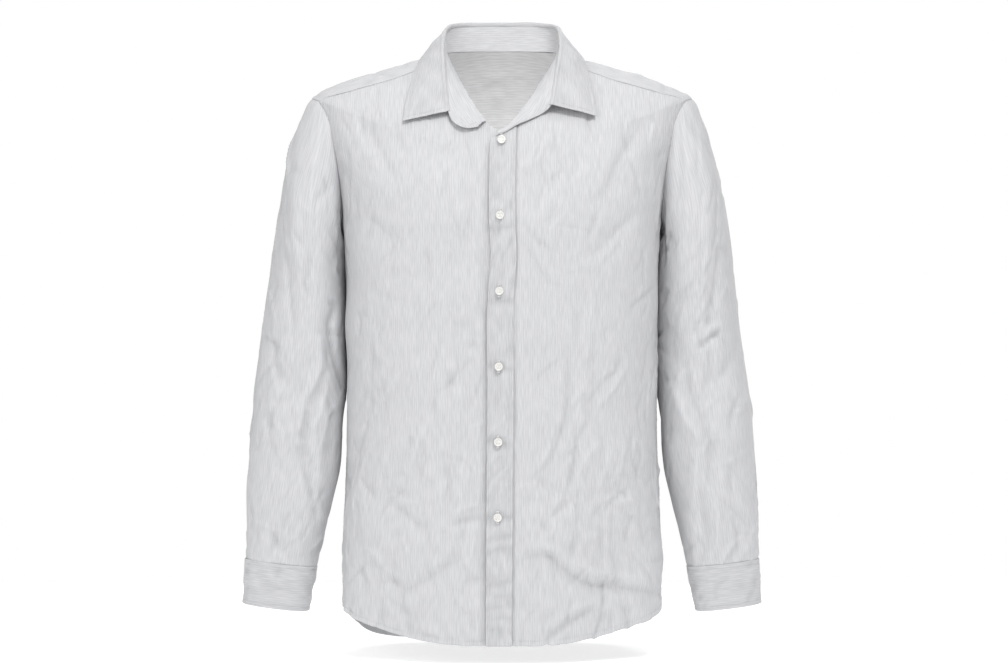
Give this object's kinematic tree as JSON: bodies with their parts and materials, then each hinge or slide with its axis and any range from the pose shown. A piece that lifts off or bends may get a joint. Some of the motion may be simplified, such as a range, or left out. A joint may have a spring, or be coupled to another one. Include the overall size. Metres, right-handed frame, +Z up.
{
  "type": "crumpled button-up shirt",
  "caption": "Lightly crumpled long-sleeved button-up shirt in fine-striped cotton, filled out as worn, with its collar open.",
  "frame": {"origin": "the middle of the neck opening, level with the neck ends of the shoulders, where the wearer's shoulders hold the shirt", "axes": "+Z up, the front faces -Y, the wearer's left side is +X"},
  "size_m": [0.6476, 0.2621, 0.793],
  "materials": {
    "striped_cotton": "fine grey and white stripes, plain woven, crumpled",
    "shirt_button": "glossy white"
  },
  "bodies": {
    "root": {"front_left": "striped_cotton", "front_right": "striped_cotton", "placket": "striped_cotton", "back": "striped_cotton", "yoke": "striped_cotton", "collar_band": "striped_cotton", "collar_leaf": "striped_cotton", "sleeve_left": "striped_cotton", "sleeve_right": "striped_cotton", "sleeve_placket_left": "striped_cotton", "sleeve_placket_right": "striped_cotton", "cuff_left": "striped_cotton", "cuff_right": "striped_cotton", "button_1": "shirt_button", "button_2": "shirt_button", "button_3": "shirt_button", "button_4": "shirt_button", "button_5": "shirt_button", "button_6": "shirt_button", "collar_button": "shirt_button", "cuff_button_left": "shirt_button", "cuff_button_right": "shirt_button"}
  },
  "joints": []
}
